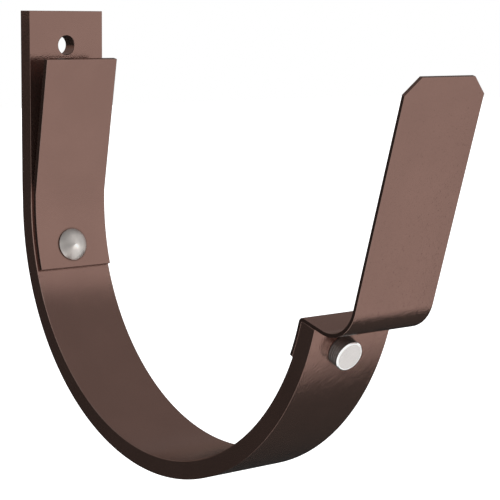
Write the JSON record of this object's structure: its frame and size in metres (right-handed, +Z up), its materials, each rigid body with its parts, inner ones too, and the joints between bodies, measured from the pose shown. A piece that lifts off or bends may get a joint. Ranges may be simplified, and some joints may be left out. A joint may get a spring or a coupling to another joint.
{
  "type": "gutter bracket",
  "caption": "Riveted flat-bar bracket whose hook cradles a half-round gutter, with a screw hole at the top and bendable front and rear clips.",
  "frame": {"origin": "centre of the screw hole on the wall plane, which is the bar's back face", "axes": "+X along the gutter, +Y into the wall, +Z up; the hook opens upward on the -Y side"},
  "size_m": [0.025, 0.1627, 0.1235],
  "materials": {
    "brown_paint": "satin brown powder coat on steel",
    "bare_steel": "bare bright steel, radially turned on the domed head"
  },
  "bodies": {
    "root": {"hook_strap": "brown_paint", "rear_clip": "brown_paint", "front_clip": "brown_paint", "rear_rivet": "bare_steel", "front_rivet": "bare_steel"}
  },
  "joints": []
}
